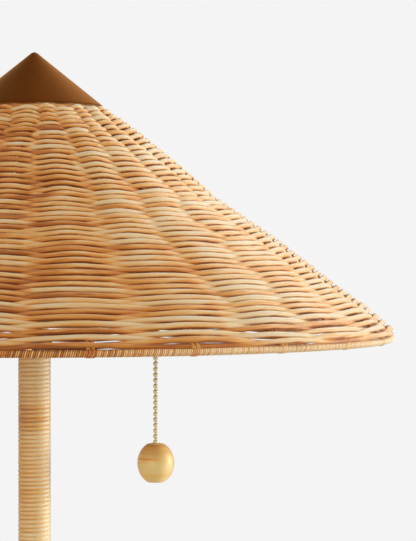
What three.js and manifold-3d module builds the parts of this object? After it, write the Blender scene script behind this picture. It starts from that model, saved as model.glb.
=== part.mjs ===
// Rattan floor lamp: a woven cone shade under a spun metal cap, on a pole wound with rattan peel.
// Millimetres, +Z up, origin on the floor under the pole. The photographed side faces -Y.
import * as THREE from 'three';
import { mergeVertices } from 'three/addons/utils/BufferGeometryUtils.js';
import Module from 'manifold-3d';

const wasm = await Module();
wasm.setup();

// Clearances
const seatGap = 0.3; // between pieces that rest on or stand in each other
const threadGap = 0.35; // round a screwed or plugged piece, whose thread is drawn plain
const runGap = 0.8; // round the bead chain where it slides
const windingGap = 0.4; // between the steel core and the peel wound on it

// Shade
const rimBottom = 1300; // lower edge of the shade above the floor
const rimRadius = 265; // centre line of the bottom ring
const rimThickness = 5.3; // bottom ring with its winding
const weaveOverhang = 1.4; // how far the woven face stands out past the ring's centre line
const weaveLift = 8.4; // last woven row above the ring's centre line, at the face
const weaveThickness = 9; // one upright rod between the outer and inner strands
const weaveSwell = [0, 1, 0.8, -0.8, 0.8, 0.5, -0.5]; // waves of the face, rim to cap
const weaveHollow = 2.6; // depth of both faces' hollows, midway between two uprights
const stakeCount = 24; // uprights of the weave
const stakeThickness = 3;
const topRingThickness = 4;
const strutThickness = 3;
const strutCount = 6;
const hubRadius = 11;
const hubThickness = 3;
const spiderArmThickness = 3.5;
const spiderArmCount = 3;

// Cap
const capBaseHeight = 174.9; // cap edge above the shade's lower edge
const capRadius = 50.8;
const capInset = 2.5; // cap edge inside the face of the top woven row
const capSlope = 38.9; // degrees from level
const capTipRadius = 4;
const capThickness = 1.2;
const capLip = 0.8;
const insertRadius = 7;
const insertFlangeRadius = 10.5;
const insertFlangeThickness = 3;
const insertGrip = 6; // thread of the riser inside the insert

// Pole
const poleTubeRadius = 9.5;
const poleTubeWall = 1.5;
const poleJointHeight = 660; // where the two lengths of core meet
const couplerLength = 60;
const plugLength = 20;
const peelThickness = 2.3; // wound peel, across the pole's radius
const peelWidth = 2.65; // wound peel, along the pole
const peelPitch = 3.15;
const peelTurns = 24; // turns drawn one by one, right under the shade
const poleTopDrop = 4; // top of the winding below the shade's lower edge
const collarHeight = 8;
const collarWidth = 6;
const collarTopWidth = 1.8;
const ferruleHeight = 8;
const ferruleWall = 1.2;

// Threaded tube of the lamp
const tubeRadius = 4.8;
const tubeBore = 3.3;
const tubeGrip = 9; // length of tube screwed into a fitting
const nutRadius = 9;
const nutHeight = 6;
const washerRadius = 14;
const washerThickness = 2;

// Base
const baseRadius = 138;
const baseEdgeHeight = 27;
const baseCentreHeight = 34;
const coverThickness = 6;
const coverShoulder = 5; // rounding of the cover's upper edge
const padThickness = 2;
const padInnerRadius = 60;
const recessRadius = 24;
const recessDepth = 12;
const baseRimThickness = 8;
const baseRimHeight = 4.6; // centre of the foot ring above the floor
const cordHeight = 14.5;
const cordBore = 3.5;
const bushingWall = 1.2;
const bushingFlange = 1;
const bushingFlangeThickness = 2;

// Light cluster and sockets
const clusterHeight = 27; // socket axis above the shade's lower edge
const clusterRadius = 16;
const clusterWaist = 11;
const clusterHalfHeight = 18;
const clusterBarrelHalf = 7.2; // straight part above and below the axis
const clusterShoulderRadius = 14.7;
const clusterShoulderHalf = 12.6;
const clusterBossRadius = 8.5;
const clusterBossReach = 22;
const chainShare = 0.34264; // bead chain from the pole's axis, as a share of the shade's radius
const shellRadius = 16.4;
const shellWall = 0.8;
const socketNeckRadius = 8;
const socketNeckLength = 6;
const socketCapLength = 20;
const socketTaper = 8;
const socketShoulder = 2.3; // how far the cap is drawn in at the middle of its taper
const socketShellLength = 41;
const chainInShell = 10; // bead chain from the shell's inner end
const linerWall = 0.8;
const linerInset = 2; // liner end inside the mouth of the shell
const coreLength = 15;
const coreNeckRadius = 9;
const coreNeckLength = 7;
const screwWall = 0.6;
const screwLength = 23;

// Bulb, small round size
const bulbRadius = 22.5;
const bulbNeckRadius = 11;
const bulbGlassLength = 50;
const bulbGlassWall = 1;
const bulbBaseRadius = 12.9;
const bulbBaseLength = 24;
const bulbContactRadius = 4.5;
const bulbContactHeight = 1.5;

// Pull chains
const beadRadius = 2.05;
const beadPitch = 4.2;
const linkRadius = 0.55;
const stubBeads = 5;
const chainBeads = 18;
const spoutRadius = 3.5;
const spoutLipRadius = 4.6;
const spoutMouth = 2; // mouth of the guide above the shade's lower edge
const connectorRadius = 2.9;
const connectorLength = 10;
const connectorDrop = 2.6; // from the guide's mouth to the connector
const beadInset = 1.5; // bead centre inside the mouth of what holds it
const ballRadius = 13.9;
const ballHeight = 29.7;
const ballFlatRadius = 6.4;
const ballBeadInset = 3;

// Facets
const shadeSides = 48;
const wideSides = 36;
const midSides = 20;
const fineSides = 16;
const smallSides = 10;
const beadSides = 6;
const wireSides = 6;
const peelSides = 5;
const peelSteps = 16; // round one turn
const nutSides = 6;
const shoulderSteps = 3;
const flareSteps = 3;
const glassSteps = 4;
const tipSteps = 4;
const ballSteps = 6;
const hollowSteps = 4; // from one upright to the next

// Heights and places that follow from the sizes
const chainOffset = rimRadius * chainShare;
const capBase = rimBottom + capBaseHeight;
const clusterAxis = rimBottom + clusterHeight;
const rimCentre = new THREE.Vector2(rimRadius, rimBottom + rimThickness / 2);
const weaveTop = new THREE.Vector2(capRadius + capInset, capBase - seatGap);
const weaveFoot = rimCentre.clone().add(new THREE.Vector2(weaveOverhang, weaveLift));
const downSlope = weaveFoot.clone().sub(weaveTop).normalize();
const outward = new THREE.Vector2(-downSlope.y, downSlope.x);
const weaveInside = weaveTop.clone().addScaledVector(outward, -weaveThickness);
const topRingCentre = weaveInside
  .clone()
  .addScaledVector(downSlope, topRingThickness / 2)
  .addScaledVector(outward, -seatGap - topRingThickness / 2);
const hubTop = topRingCentre.y + hubThickness / 2;
const hubBottom = topRingCentre.y - hubThickness / 2;
const insertBottom = hubTop + seatGap;
const seatWasherTop = hubBottom - seatGap;
const riserNutTop = seatWasherTop - washerThickness - seatGap;
const wrapInner = poleTubeRadius + windingGap;
const wrapOuter = wrapInner + peelThickness;
const poleTop = rimBottom - poleTopDrop;
const clusterBottom = clusterAxis - clusterHalfHeight;
const clusterTop = clusterAxis + clusterHalfHeight;
const weightBottom = padThickness + seatGap;
const weightRadius = baseRadius - coverThickness - seatGap;
const weightEdgeTop = baseEdgeHeight - coverThickness - seatGap;
const weightCentreTop = baseCentreHeight - coverThickness - seatGap;
const recessTop = weightBottom + recessDepth;
const poleFoot = weightCentreTop + seatGap;

const finishes = {
  rattan: { color: 0xd9ae6c, roughness: 0.6, metalness: 0 },
  steel: { color: 0xb9bcc0, roughness: 0.35, metalness: 1 },
  brass: { color: 0xc9a45a, roughness: 0.3, metalness: 1 },
  iron: { color: 0x3a3a3c, roughness: 0.7, metalness: 0.9 },
  bronze: { color: 0x6b3d18, roughness: 0.35, metalness: 0.6 },
  felt: { color: 0x2f5d3a, roughness: 0.95, metalness: 0 },
  plastic: { color: 0x1c1a18, roughness: 0.5, metalness: 0 },
  phenolic: { color: 0x2a211b, roughness: 0.4, metalness: 0 },
  fibre: { color: 0x8f7a58, roughness: 0.9, metalness: 0 },
  rubber: { color: 0x26211c, roughness: 0.9, metalness: 0 },
  wood: { color: 0xe0b060, roughness: 0.45, metalness: 0 },
  glass: { color: 0xf4efe2, roughness: 0.15, metalness: 0, transparent: true, opacity: 0.6 },
};

const root = new THREE.Group();

// Adds one named piece to a group.
function addPiece(group, name, geometry, finish) {
  const mesh = new THREE.Mesh(geometry, new THREE.MeshStandardMaterial(finish));
  mesh.name = name;
  group.add(mesh);
  return mesh;
}

const rattan = (group, name, geometry) => addPiece(group, name, geometry, finishes.rattan);
const steel = (group, name, geometry) => addPiece(group, name, geometry, finishes.steel);
const brass = (group, name, geometry) => addPiece(group, name, geometry, finishes.brass);

// A solid turned about Z. The profile runs anticlockwise in radius and height. One that leaves
// the axis closes on its first point.
function turned(profile, sides) {
  const points = profile.map(([radius, height]) => new THREE.Vector2(radius, height));
  if (profile[0][0] > 0) points.push(points[0].clone());
  return new THREE.LatheGeometry(points, sides).rotateX(Math.PI / 2);
}

// A plain ring with a rectangular section.
function ring(inner, outer, bottom, top, sides) {
  return turned([[inner, bottom], [outer, bottom], [outer, top], [inner, top]], sides);
}

// A ring with a round section.
function roundRing(centre, sectionRadius, sides) {
  const profile = [];
  for (let i = 0; i < wireSides; i += 1) {
    const angle = (2 * Math.PI * i) / wireSides;
    const out = sectionRadius * Math.cos(angle);
    profile.push([centre.x + out, centre.y + sectionRadius * Math.sin(angle)]);
  }
  return turned(profile, sides);
}

// A straight rod between two points.
function rod(from, to, radius, sides) {
  const length = from.distanceTo(to);
  const geometry = new THREE.CylinderGeometry(radius, radius, length, sides);
  const turn = new THREE.Quaternion().setFromUnitVectors(
    new THREE.Vector3(0, 1, 0),
    to.clone().sub(from).normalize(),
  );
  const middle = from.clone().lerp(to, 0.5);
  return geometry.applyQuaternion(turn).translate(middle.x, middle.y, middle.z);
}

// A hexagonal nut with a round hole.
function nut(radius, hole, bottom, top) {
  const outline = new THREE.Shape();
  for (let i = 0; i < nutSides; i += 1) {
    const angle = (2 * Math.PI * i) / nutSides;
    const point = [radius * Math.cos(angle), radius * Math.sin(angle)];
    if (i === 0) outline.moveTo(...point);
    else outline.lineTo(...point);
  }
  outline.closePath();
  outline.holes.push(new THREE.Path().absarc(0, 0, hole, 0, 2 * Math.PI, true));
  const geometry = new THREE.ExtrudeGeometry(outline, {
    depth: top - bottom,
    bevelEnabled: false,
    curveSegments: smallSides,
  });
  return geometry.translate(0, 0, bottom);
}

// Welds a mesh's points and hands it over for cutting and joining.
function toSolid(geometry) {
  const bare = geometry.clone();
  bare.deleteAttribute('normal');
  bare.deleteAttribute('uv');
  const merged = mergeVertices(bare);
  const index = merged.index.array;
  const kept = [];
  for (let i = 0; i < index.length; i += 3) {
    const [a, b, c] = [index[i], index[i + 1], index[i + 2]];
    if (a !== b && b !== c && c !== a) kept.push(a, b, c);
  }
  return new wasm.Manifold(new wasm.Mesh({
    numProp: 3,
    vertProperties: new Float32Array(merged.attributes.position.array),
    triVerts: new Uint32Array(kept),
  }));
}

function toGeometry(solid) {
  const mesh = solid.getMesh();
  const geometry = new THREE.BufferGeometry();
  geometry.setAttribute('position', new THREE.BufferAttribute(mesh.vertProperties, 3));
  geometry.setIndex(new THREE.BufferAttribute(mesh.triVerts, 1));
  geometry.computeVertexNormals();
  return geometry;
}

function cut(geometry, ...tools) {
  let solid = toSolid(geometry);
  for (const tool of tools) solid = solid.subtract(toSolid(tool));
  return toGeometry(solid);
}

function joined(geometry, ...others) {
  let solid = toSolid(geometry);
  for (const other of others) solid = solid.add(toSolid(other));
  return toGeometry(solid);
}

// A point at a given radius and height in the upright plane at an angle round Z.
function around(point, angle) {
  return new THREE.Vector3(point.x * Math.cos(angle), point.x * Math.sin(angle), point.y);
}

// A point of the shade's section: down the slope from the top edge, and out from the inner face.
function onSlope(along, out) {
  return weaveInside.clone().addScaledVector(downSlope, along).addScaledVector(outward, out);
}

// How far down the slope a rod can run before it comes within a seat gap of a ring.
function stopAtRing(centre, thickness, out, rodThickness) {
  const fromTop = centre.clone().sub(weaveInside);
  const beside = Math.abs(fromTop.dot(outward) - out) - rodThickness / 2;
  const reach = thickness / 2 + seatGap;
  const clear = beside > 0 ? Math.sqrt(Math.max(0, reach * reach - beside * beside)) : reach;
  return fromTop.dot(downSlope) - clear;
}

// Base, with the threaded tube and nut that hold the pole on it.
function buildBase() {
  buildPad();
  buildWeight();
  buildCover();
  const rimCentreLine = new THREE.Vector2(
    baseRadius + seatGap + baseRimThickness / 2,
    baseRimHeight,
  );
  rattan(root, 'base_rim', roundRing(rimCentreLine, baseRimThickness / 2, wideSides));
  const hole = tubeRadius + threadGap;
  const washerTop = recessTop - seatGap;
  const nutTop = washerTop - washerThickness - seatGap;
  steel(root, 'base_washer', ring(hole, washerRadius, washerTop - washerThickness, washerTop, midSides));
  steel(root, 'base_nut', nut(nutRadius, hole, nutTop - nutHeight, nutTop));
  const studTop = poleFoot + plugLength + seatGap;
  steel(root, 'base_stud', ring(tubeBore, tubeRadius, nutTop - nutHeight, studTop, smallSides));
  buildBushing();
}

// Felt ring under the disc.
function buildPad() {
  const pad = ring(padInnerRadius, weightRadius, 0, padThickness, wideSides);
  addPiece(root, 'base_pad', pad, finishes.felt);
}

// Cast disc, thicker at the middle, with a nut recess below and a side hole for the cord.
function buildWeight() {
  const hole = tubeRadius + threadGap;
  const disc = turned([
    [hole, recessTop],
    [recessRadius, recessTop],
    [recessRadius, weightBottom],
    [weightRadius, weightBottom],
    [weightRadius, weightEdgeTop],
    [wrapOuter + collarWidth, weightCentreTop],
    [hole, weightCentreTop],
  ], wideSides);
  const cordHole = rod(
    new THREE.Vector3(0, recessRadius / 2, cordHeight),
    new THREE.Vector3(0, baseRadius, cordHeight),
    cordBore,
    smallSides,
  );
  addPiece(root, 'base_weight', cut(disc, cordHole), finishes.iron);
}

// Shell of coiled rattan over the disc, with a rounded shoulder.
function buildCover() {
  const neck = wrapOuter + threadGap;
  const inner = weightRadius + seatGap;
  const shoulder = new THREE.Vector2(baseRadius - coverShoulder, baseEdgeHeight - coverShoulder);
  const profile = [[neck, weightCentreTop + seatGap]];
  profile.push([wrapOuter + collarWidth, weightCentreTop + seatGap]);
  profile.push([inner, weightEdgeTop + seatGap], [inner, weightBottom], [baseRadius, weightBottom]);
  for (let i = 0; i <= shoulderSteps; i += 1) {
    const angle = (Math.PI / 2) * (i / shoulderSteps);
    const out = coverShoulder * Math.cos(angle);
    profile.push([shoulder.x + out, shoulder.y + coverShoulder * Math.sin(angle)]);
  }
  profile.push([wrapOuter + collarWidth, baseCentreHeight], [neck, baseCentreHeight]);
  const radius = cordBore + bushingWall + seatGap;
  const hole = rod(
    new THREE.Vector3(0, weightRadius - coverThickness, cordHeight),
    new THREE.Vector3(0, baseRadius + coverThickness, cordHeight),
    radius,
    smallSides,
  );
  rattan(root, 'base_cover', cut(turned(profile, wideSides), hole));
}

// Plastic bushing in the back edge, where a cord would leave.
function buildBushing() {
  const outer = cordBore + bushingWall;
  const sleeveEnd = baseRadius + seatGap;
  const bushing = turned([
    [cordBore, weightRadius + seatGap],
    [outer, weightRadius + seatGap],
    [outer, sleeveEnd],
    [outer + bushingFlange, sleeveEnd],
    [outer + bushingFlange, sleeveEnd + bushingFlangeThickness],
    [cordBore, sleeveEnd + bushingFlangeThickness],
  ], smallSides);
  const mesh = addPiece(root, 'cord_bushing', bushing, finishes.plastic);
  mesh.rotation.x = -Math.PI / 2;
  mesh.position.z = cordHeight;
}

// Pole, with the threaded tube that carries the lights.
function buildPole() {
  const hole = tubeRadius + threadGap;
  buildCore(hole);
  const nippleTop = clusterBottom + tubeGrip;
  steel(root, 'pole_nipple', ring(tubeBore, tubeRadius, poleTop - plugLength, nippleTop, smallSides));
  buildWrap(poleTop);
  buildCollar();
  buildFerrule(poleTop, hole);
}

// Steel core in two lengths: threaded plugs at the ends, and a spigot that joins the lengths.
function buildCore(hole) {
  const bore = poleTubeRadius - poleTubeWall;
  const spigotRadius = bore - threadGap;
  const spigotTop = poleJointHeight + couplerLength / 2;
  const spigotFoot = poleJointHeight - couplerLength / 2;
  steel(root, 'pole_tube_lower', turned([
    [hole, poleFoot],
    [poleTubeRadius, poleFoot],
    [poleTubeRadius, poleJointHeight],
    [spigotRadius, poleJointHeight],
    [spigotRadius, spigotTop],
    [hole, spigotTop],
    [hole, spigotFoot],
    [bore, spigotFoot],
    [bore, poleFoot + plugLength],
    [hole, poleFoot + plugLength],
  ], fineSides));
  steel(root, 'pole_tube_upper', turned([
    [bore, poleJointHeight + seatGap],
    [poleTubeRadius, poleJointHeight + seatGap],
    [poleTubeRadius, poleTop],
    [hole, poleTop],
    [hole, poleTop - plugLength],
    [bore, poleTop - plugLength],
  ], fineSides));
}

// The lower winding is a plain sleeve. Its top turns are drawn as the one strand that they are.
function buildWrap(top) {
  const coilTop = top - peelWidth / 2 - seatGap;
  const coilBottom = coilTop - peelTurns * peelPitch;
  const sleeveTop = coilBottom - peelWidth / 2 - seatGap;
  rattan(root, 'pole_wrap_lower', ring(wrapInner, wrapOuter, poleFoot, sleeveTop, midSides));
  rattan(root, 'pole_wrap_upper', winding(coilBottom, coilTop));
}

// One unbroken strand wound up the pole, each end running straight for its own width.
function winding(bottom, top) {
  const steps = peelTurns * peelSteps;
  const lineRadius = wrapInner + peelThickness / 2;
  const rings = [];
  const centres = [];
  const addRing = (angle, height, run) => {
    const centre = around(new THREE.Vector2(lineRadius, height), angle);
    centre.x -= run * Math.sin(angle);
    centre.y += run * Math.cos(angle);
    centres.push(centre);
    rings.push({ angle, centre });
  };
  addRing(0, bottom, -peelWidth);
  for (let i = 0; i <= steps; i += 1) {
    addRing((2 * Math.PI * i) / peelSteps, bottom + ((top - bottom) * i) / steps, 0);
  }
  addRing((2 * Math.PI * steps) / peelSteps, top, peelWidth);
  console.log(`pole_wrap_upper least gap to itself ${leastGap(centres).toFixed(2)} mm`);
  return sweptTube(rings);
}

// Least distance between strand points at least half a turn apart, less the strand's width.
function leastGap(centres) {
  let least = Infinity;
  for (let i = 0; i < centres.length; i += 1) {
    const end = Math.min(centres.length, i + 2 * peelSteps);
    for (let j = i + peelSteps / 2; j < end; j += 1) {
      least = Math.min(least, centres[i].distanceTo(centres[j]));
    }
  }
  return least - peelWidth;
}

// Joins the oval sections of a strand into one closed skin.
function sweptTube(rings) {
  const positions = [];
  const index = [];
  for (const { angle, centre } of rings) {
    for (let k = 0; k < peelSides; k += 1) {
      const turn = (2 * Math.PI * (k + 0.5)) / peelSides;
      const out = (peelThickness / 2) * Math.cos(turn);
      positions.push(centre.x + out * Math.cos(angle), centre.y + out * Math.sin(angle));
      positions.push(centre.z + (peelWidth / 2) * Math.sin(turn));
    }
  }
  for (let i = 0; i + 1 < rings.length; i += 1) {
    for (let k = 0; k < peelSides; k += 1) {
      const a = i * peelSides + k;
      const b = i * peelSides + ((k + 1) % peelSides);
      index.push(a, a + peelSides, b, b, a + peelSides, b + peelSides);
    }
  }
  const last = (rings.length - 1) * peelSides;
  for (let k = 1; k + 1 < peelSides; k += 1) {
    index.push(0, k, k + 1);
    index.push(last, last + k + 1, last + k);
  }
  const geometry = new THREE.BufferGeometry();
  geometry.setAttribute('position', new THREE.Float32BufferAttribute(positions, 3));
  geometry.setIndex(index);
  geometry.computeVertexNormals();
  return geometry;
}

// Cane ring with a domed top, where the pole stands on the base.
function buildCollar() {
  const bottom = baseCentreHeight + seatGap;
  const inner = wrapOuter + threadGap;
  const profile = [[inner, bottom]];
  for (let i = 0; i <= shoulderSteps; i += 1) {
    const angle = (Math.PI / 2) * (i / shoulderSteps);
    const width = collarTopWidth + (collarWidth - collarTopWidth) * Math.cos(angle);
    profile.push([inner + width, bottom + collarHeight * Math.sin(angle)]);
  }
  profile.push([inner, bottom + collarHeight]);
  rattan(root, 'pole_collar', turned(profile, midSides));
}

// Brass cup over the top of the winding, under the light cluster.
function buildFerrule(top, hole) {
  const inner = wrapOuter + seatGap;
  const skirt = top + seatGap - ferruleHeight;
  const seat = top + seatGap;
  const lid = clusterBottom - seatGap;
  brass(root, 'pole_ferrule', turned([
    [hole, seat],
    [inner, seat],
    [inner, skirt],
    [inner + ferruleWall, skirt],
    [inner + ferruleWall, seat + ferruleWall],
    [clusterWaist, lid],
    [hole, lid],
  ], midSides));
}

// Light cluster: turned body, two side bosses, bored through both ways.
function buildCluster() {
  const hole = tubeRadius + threadGap;
  const barrel = turned([
    [0, clusterBottom],
    [clusterWaist, clusterBottom],
    [clusterShoulderRadius, clusterAxis - clusterShoulderHalf],
    [clusterRadius, clusterAxis - clusterBarrelHalf],
    [clusterRadius, clusterAxis + clusterBarrelHalf],
    [clusterShoulderRadius, clusterAxis + clusterShoulderHalf],
    [clusterWaist, clusterTop],
    [0, clusterTop],
  ], midSides);
  const level = (reach) => [
    new THREE.Vector3(-reach, 0, clusterAxis),
    new THREE.Vector3(reach, 0, clusterAxis),
  ];
  const bosses = rod(...level(clusterBossReach), clusterBossRadius, fineSides);
  const sideBore = rod(...level(clusterBossReach + seatGap), hole, smallSides);
  const upright = rod(
    new THREE.Vector3(0, 0, clusterBottom - seatGap),
    new THREE.Vector3(0, 0, clusterTop + seatGap),
    hole,
    smallSides,
  );
  brass(root, 'cluster_body', cut(joined(barrel, bosses), sideBore, upright));
}

// Riser through the spider, with the nut that the shade rests on.
function buildRiser() {
  const bottom = clusterTop - tubeGrip;
  const top = insertBottom + insertGrip;
  const hole = tubeRadius + threadGap;
  steel(root, 'riser', ring(tubeBore, tubeRadius, bottom, top, smallSides));
  steel(root, 'riser_nut', nut(nutRadius, hole, riserNutTop - nutHeight, riserNutTop));
  const washerBottom = seatWasherTop - washerThickness;
  const washer = ring(hole, washerRadius, washerBottom, seatWasherTop, midSides);
  addPiece(root, 'seat_washer', washer, finishes.rubber);
}

// One side of the lamp's lights, drawn along +X and turned about Z for the other side.
function buildLight(side, turn) {
  const group = new THREE.Group();
  group.rotation.z = turn;
  root.add(group);
  const shellStart = chainOffset - chainInShell;
  const capEnd = shellStart - seatGap;
  const capStart = capEnd - socketCapLength;
  buildArm(group, side, capStart);
  buildSocketCap(group, side, capStart, capEnd);
  const shellEnd = shellStart + socketShellLength;
  buildSocketShell(group, side, shellStart, shellEnd);
  buildBulb(group, side, shellEnd);
  buildPull(group, side);
}

// Lays a piece that was turned about Z along +X at the cluster's height.
function layOut(geometry) {
  return geometry.rotateY(Math.PI / 2).translate(0, 0, clusterAxis);
}

// The upright hole that the bead chain runs in, through the lower side of a socket.
function chainHole(radius, bottom, top) {
  return rod(
    new THREE.Vector3(chainOffset, 0, bottom),
    new THREE.Vector3(chainOffset, 0, top),
    radius,
    smallSides,
  );
}

function buildArm(group, side, capStart) {
  const start = clusterBossReach - tubeGrip;
  const end = capStart + tubeGrip;
  steel(group, `arm_${side}`, layOut(ring(tubeBore, tubeRadius, start, end, smallSides)));
}

// Spun cup that screws on the arm and closes the socket's inner end.
function buildSocketCap(group, side, start, end) {
  const hole = tubeRadius + threadGap;
  const neckEnd = start + socketNeckLength;
  const fullStart = neckEnd + socketTaper;
  const inner = shellRadius - shellWall;
  brass(group, `socket_cap_${side}`, layOut(turned([
    [hole, start],
    [socketNeckRadius, start],
    [socketNeckRadius, neckEnd],
    [shellRadius - socketShoulder, neckEnd + socketTaper / 2],
    [shellRadius, fullStart],
    [shellRadius, end],
    [inner, end],
    [inner, fullStart + shellWall],
    [inner - socketShoulder, neckEnd + (socketTaper + shellWall) / 2],
    [hole, neckEnd + shellWall],
  ], fineSides)));
}

// Shell, insulating liner, core and screw shell of one socket, with the hole for the chain guide.
function buildSocketShell(group, side, start, end) {
  const inner = shellRadius - shellWall;
  const linerOuter = inner - seatGap;
  const linerInner = linerOuter - linerWall;
  const coreRadius = linerInner - seatGap;
  const coreEnd = start + coreLength;
  const guideHole = () => chainHole(spoutRadius + seatGap, clusterAxis - 2 * shellRadius, clusterAxis);
  const shell = layOut(turned([
    [inner, start],
    [shellRadius, start],
    [shellRadius, end - shellWall * 2],
    [shellRadius + shellWall, end - shellWall],
    [shellRadius + shellWall, end],
    [inner, end],
  ], fineSides));
  brass(group, `socket_shell_${side}`, cut(shell, guideHole()));
  const liner = layOut(ring(linerInner, linerOuter, start, end - linerInset, fineSides));
  addPiece(group, `socket_liner_${side}`, cut(liner, guideHole()), finishes.fibre);
  const core = layOut(turned([
    [0, start - coreNeckLength],
    [coreNeckRadius, start - coreNeckLength],
    [coreNeckRadius, start],
    [coreRadius, start],
    [coreRadius, coreEnd],
    [0, coreEnd],
  ], fineSides));
  const well = chainHole(beadRadius + runGap, clusterAxis - 2 * shellRadius, clusterAxis - beadRadius);
  addPiece(group, `socket_core_${side}`, cut(core, well), finishes.phenolic);
  const screwStart = coreEnd + seatGap;
  const screwInner = bulbBaseRadius + threadGap;
  const screw = ring(screwInner, screwInner + screwWall, screwStart, screwStart + screwLength, fineSides);
  brass(group, `socket_screw_${side}`, layOut(screw));
  buildSpout(group, side, coreRadius);
}

// Chain guide: a small bell through the shell's lower side.
function buildSpout(group, side, coreRadius) {
  const bore = beadRadius + runGap;
  const top = clusterAxis - coreRadius - seatGap;
  const mouth = rimBottom + spoutMouth;
  const underShell = clusterAxis - shellRadius - seatGap;
  brass(group, `pull_spout_${side}`, turned([
    [bore, mouth],
    [spoutLipRadius, mouth],
    [spoutLipRadius, mouth + spoutLipRadius - spoutRadius],
    [spoutRadius + seatGap, underShell - spoutRadius],
    [spoutRadius, underShell],
    [spoutRadius, top],
    [bore, top],
  ], smallSides).translate(chainOffset, 0, 0));
}

// Small screw-in bulb: metal base and hollow glass.
function buildBulb(group, side, shellEnd) {
  const baseStart = shellEnd - bulbBaseLength;
  steel(group, `bulb_base_${side}`, layOut(turned([
    [0, baseStart],
    [bulbContactRadius, baseStart],
    [bulbContactRadius, baseStart + bulbContactHeight],
    [bulbBaseRadius, baseStart + bulbContactHeight + (bulbBaseRadius - bulbContactRadius) / 2],
    [bulbBaseRadius, shellEnd],
    [0, shellEnd],
  ], fineSides)));
  const glassStart = shellEnd + seatGap;
  const centre = glassStart + bulbGlassLength - bulbRadius;
  const outer = bulbOutline(glassStart, centre, 0);
  const inner = bulbOutline(glassStart, centre, bulbGlassWall).reverse();
  const glass = layOut(turnedShell(inner, outer));
  addPiece(group, `bulb_glass_${side}`, glass, finishes.glass);
}

// A cup-shaped solid whose inner and outer outlines both end on the axis.
function turnedShell(innerFromAxis, outerToAxis) {
  return turned([...innerFromAxis, ...outerToAxis], fineSides);
}

// Outline of the glass from its neck to its tip, drawn in by a wall.
function bulbOutline(start, centre, wall) {
  const points = [[bulbNeckRadius - wall, start]];
  for (let i = 1; i < flareSteps; i += 1) {
    const t = i / flareSteps;
    const swell = (bulbRadius - bulbNeckRadius) * THREE.MathUtils.smoothstep(t, 0, 1);
    points.push([bulbNeckRadius + swell - wall, start + (centre - start) * t]);
  }
  for (let i = 0; i <= glassSteps; i += 1) {
    const angle = (Math.PI / 2) * (i / glassSteps);
    const radius = i === glassSteps ? 0 : (bulbRadius - wall) * Math.cos(angle);
    points.push([radius, centre + (bulbRadius - wall) * Math.sin(angle)]);
  }
  return points;
}

// Pull: stub that runs in the guide, swivel connector, long chain and wooden ball.
function buildPull(group, side) {
  const mouth = rimBottom + spoutMouth;
  const connectorTop = mouth - connectorDrop;
  const connectorBottom = connectorTop - connectorLength;
  const stubEnd = connectorTop - beadInset;
  const chainStart = connectorBottom + beadInset;
  const place = (geometry) => geometry.translate(chainOffset, 0, 0);
  brass(group, `pull_stub_${side}`, place(beadChain(stubEnd + (stubBeads - 1) * beadPitch, stubBeads)));
  brass(group, `pull_connector_${side}`, place(connector(connectorBottom, connectorTop)));
  brass(group, `pull_chain_${side}`, place(beadChain(chainStart, chainBeads)));
  const lastBead = chainStart - (chainBeads - 1) * beadPitch;
  const ballTop = lastBead + ballBeadInset;
  addPiece(group, `pull_ball_${side}`, place(ball(ballTop)), finishes.wood);
}

// Hollow beads on a wire, from the top bead's centre down, drawn in to the wire between beads.
function beadChain(top, count) {
  const half = beadRadius * (1 - Math.SQRT1_2);
  const profile = [[0, top - (count - 1) * beadPitch - beadRadius]];
  for (let i = count - 1; i >= 0; i -= 1) {
    const centre = top - i * beadPitch;
    profile.push([beadRadius, centre - half], [beadRadius, centre + half]);
    if (i > 0) profile.push([linkRadius, centre + beadPitch / 2]);
  }
  profile.push([0, top + beadRadius]);
  return turned(profile, beadSides);
}

// Small barrel that holds the end beads of two chains and lets both swing.
function connector(bottom, top) {
  const bore = beadRadius + seatGap;
  const depth = beadInset + beadRadius + seatGap;
  return turned([
    [0, bottom + depth],
    [bore, bottom + depth],
    [bore, bottom],
    [connectorRadius, bottom],
    [connectorRadius, top],
    [bore, top],
    [bore, top - depth],
    [0, top - depth],
  ], smallSides);
}

// Turned wooden ball with small flats and a blind hole for the chain.
function ball(top) {
  const bore = beadRadius + seatGap;
  const depth = ballBeadInset + beadRadius + seatGap;
  const bottom = top - ballHeight;
  const middle = bottom + ballHeight / 2;
  const flatAngle = Math.acos(ballFlatRadius / ballRadius);
  const half = ballHeight / 2 / Math.sin(flatAngle);
  const profile = [[0, bottom]];
  for (let i = 0; i <= ballSteps; i += 1) {
    const angle = flatAngle * ((2 * i) / ballSteps - 1);
    profile.push([ballRadius * Math.cos(angle), middle + half * Math.sin(angle)]);
  }
  profile.push([bore, top], [bore, top - depth], [0, top - depth]);
  return turned(profile, fineSides);
}

// Shade, with the ring and arms that carry it on the riser.
function buildShade() {
  buildWeave();
  rattan(root, 'rim_ring', roundRing(rimCentre, rimThickness / 2, shadeSides));
  steel(root, 'top_ring', roundRing(topRingCentre, topRingThickness / 2, shadeSides / 2));
  const hole = tubeRadius + threadGap + seatGap;
  steel(root, 'spider_hub', ring(hole, hubRadius, hubBottom, hubTop, midSides));
  for (let i = 0; i < spiderArmCount; i += 1) {
    const angle = (2 * Math.PI * i) / spiderArmCount + Math.PI / 2;
    const start = new THREE.Vector2(hubRadius + seatGap, topRingCentre.y);
    const end = new THREE.Vector2(topRingCentre.x - topRingThickness / 2 - seatGap, topRingCentre.y);
    const arm = rod(around(start, angle), around(end, angle), spiderArmThickness / 2, wireSides);
    steel(root, `spider_arm_${i + 1}`, arm);
  }
  buildStruts();
}

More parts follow.
